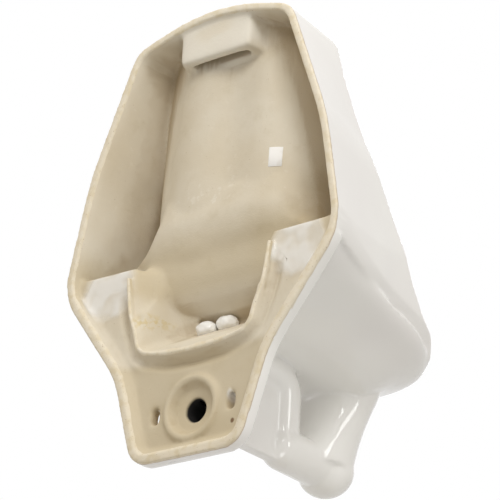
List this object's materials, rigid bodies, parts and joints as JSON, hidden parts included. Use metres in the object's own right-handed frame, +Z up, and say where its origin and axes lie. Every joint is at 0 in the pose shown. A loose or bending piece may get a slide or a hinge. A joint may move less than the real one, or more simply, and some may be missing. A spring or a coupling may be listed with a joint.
{
  "type": "wall-hung urinal",
  "caption": "Wall-hung vitreous china urinal with a hood, rounded bowl, lip and integral trap, hung on a wall hanger, with a top flush spud and a rear outlet.",
  "frame": {"origin": "outlet axis where it meets the wall plane", "axes": "+X to the right seen from the front, +Y into the wall, +Z up; the bowl stands off the wall toward -Y"},
  "size_m": [0.4762, 0.415, 0.705],
  "materials": {
    "glaze": "gloss white glaze",
    "clay": "raw fired clay",
    "brass": "plain",
    "rubber": "matte",
    "steel": "satin",
    "paper": "matte"
  },
  "bodies": {
    "root": {"hood": "glaze", "side_left": "glaze", "side_right": "glaze", "lip": "glaze", "underside": "glaze", "basin": "clay", "trap": "glaze", "tray": "clay", "outlet_plate": "clay", "hanger_pocket": "clay", "flush_spreader": "glaze", "spud_body": "brass", "spud_gasket": "rubber", "spud_washer": "steel", "spud_nut": "brass", "strainer": "steel", "strainer_bar": "steel", "strainer_screw": "steel", "paper_label": "paper", "plug_left": "glaze", "plug_right": "glaze"}
  },
  "joints": []
}
